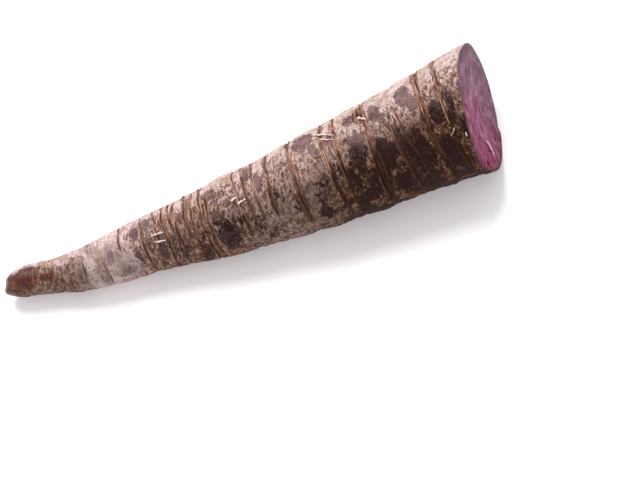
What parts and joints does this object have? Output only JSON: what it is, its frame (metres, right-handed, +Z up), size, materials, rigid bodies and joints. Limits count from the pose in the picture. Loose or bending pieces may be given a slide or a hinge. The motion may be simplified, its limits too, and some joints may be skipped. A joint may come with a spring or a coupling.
{
  "type": "carrot",
  "caption": "Black carrot root lying on its side: long irregular taper with creased growth rings, a blunt tip and a flat cut where the crown was sliced off.",
  "frame": {"origin": "on the table, under the middle of the root's bounding box", "axes": "+X along the root from the tip to the cut, +Z up, +Y to the side away from the show side"},
  "size_m": [0.2076, 0.0512, 0.0488],
  "materials": {
    "carrot_skin": "matte",
    "cut_flesh": "satin",
    "rootlet": "matte"
  },
  "bodies": {
    "root": {"carrot_root": "carrot_skin"}
  },
  "joints": []
}
